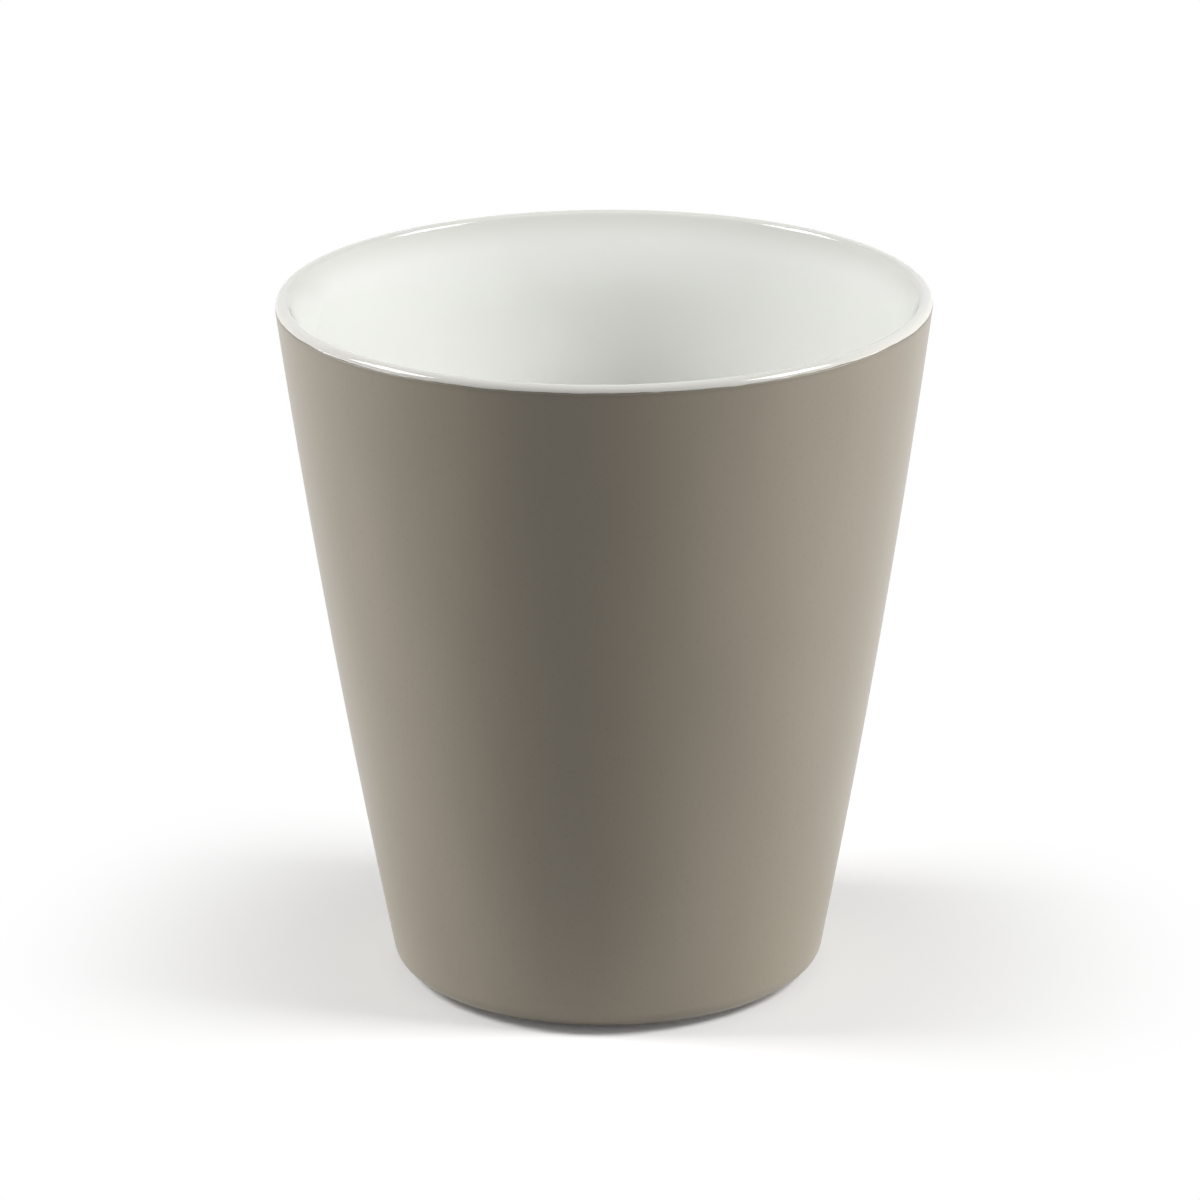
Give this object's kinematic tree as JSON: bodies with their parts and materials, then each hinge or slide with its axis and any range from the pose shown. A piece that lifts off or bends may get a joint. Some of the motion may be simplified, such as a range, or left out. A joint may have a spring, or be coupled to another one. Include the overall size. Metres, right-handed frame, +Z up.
{
  "type": "handleless cup",
  "caption": "Tapered handleless porcelain cup with a slightly bowed wall, rounded lip, radiused heel and recessed foot; satin taupe glaze outside, glossy white inside.",
  "frame": {"origin": "centre of the plane that the foot ring rests on, on the cup's axis", "axes": "+Z up along the cup's axis of revolution; the picture looks along +Y, with +X to the right"},
  "size_m": [0.084, 0.084, 0.091],
  "materials": {
    "bare_porcelain": "fired and wiped bare, matt",
    "taupe_satin_glaze": "satin coloured glaze",
    "white_gloss_glaze": "glossy clear white glaze",
    "white_underside_glaze": "glossy clear white glaze"
  },
  "bodies": {
    "root": {"porcelain_body": "bare_porcelain", "outer_colour_glaze": "taupe_satin_glaze", "inner_white_glaze": "white_gloss_glaze", "underside_glaze": "white_underside_glaze"}
  },
  "joints": []
}
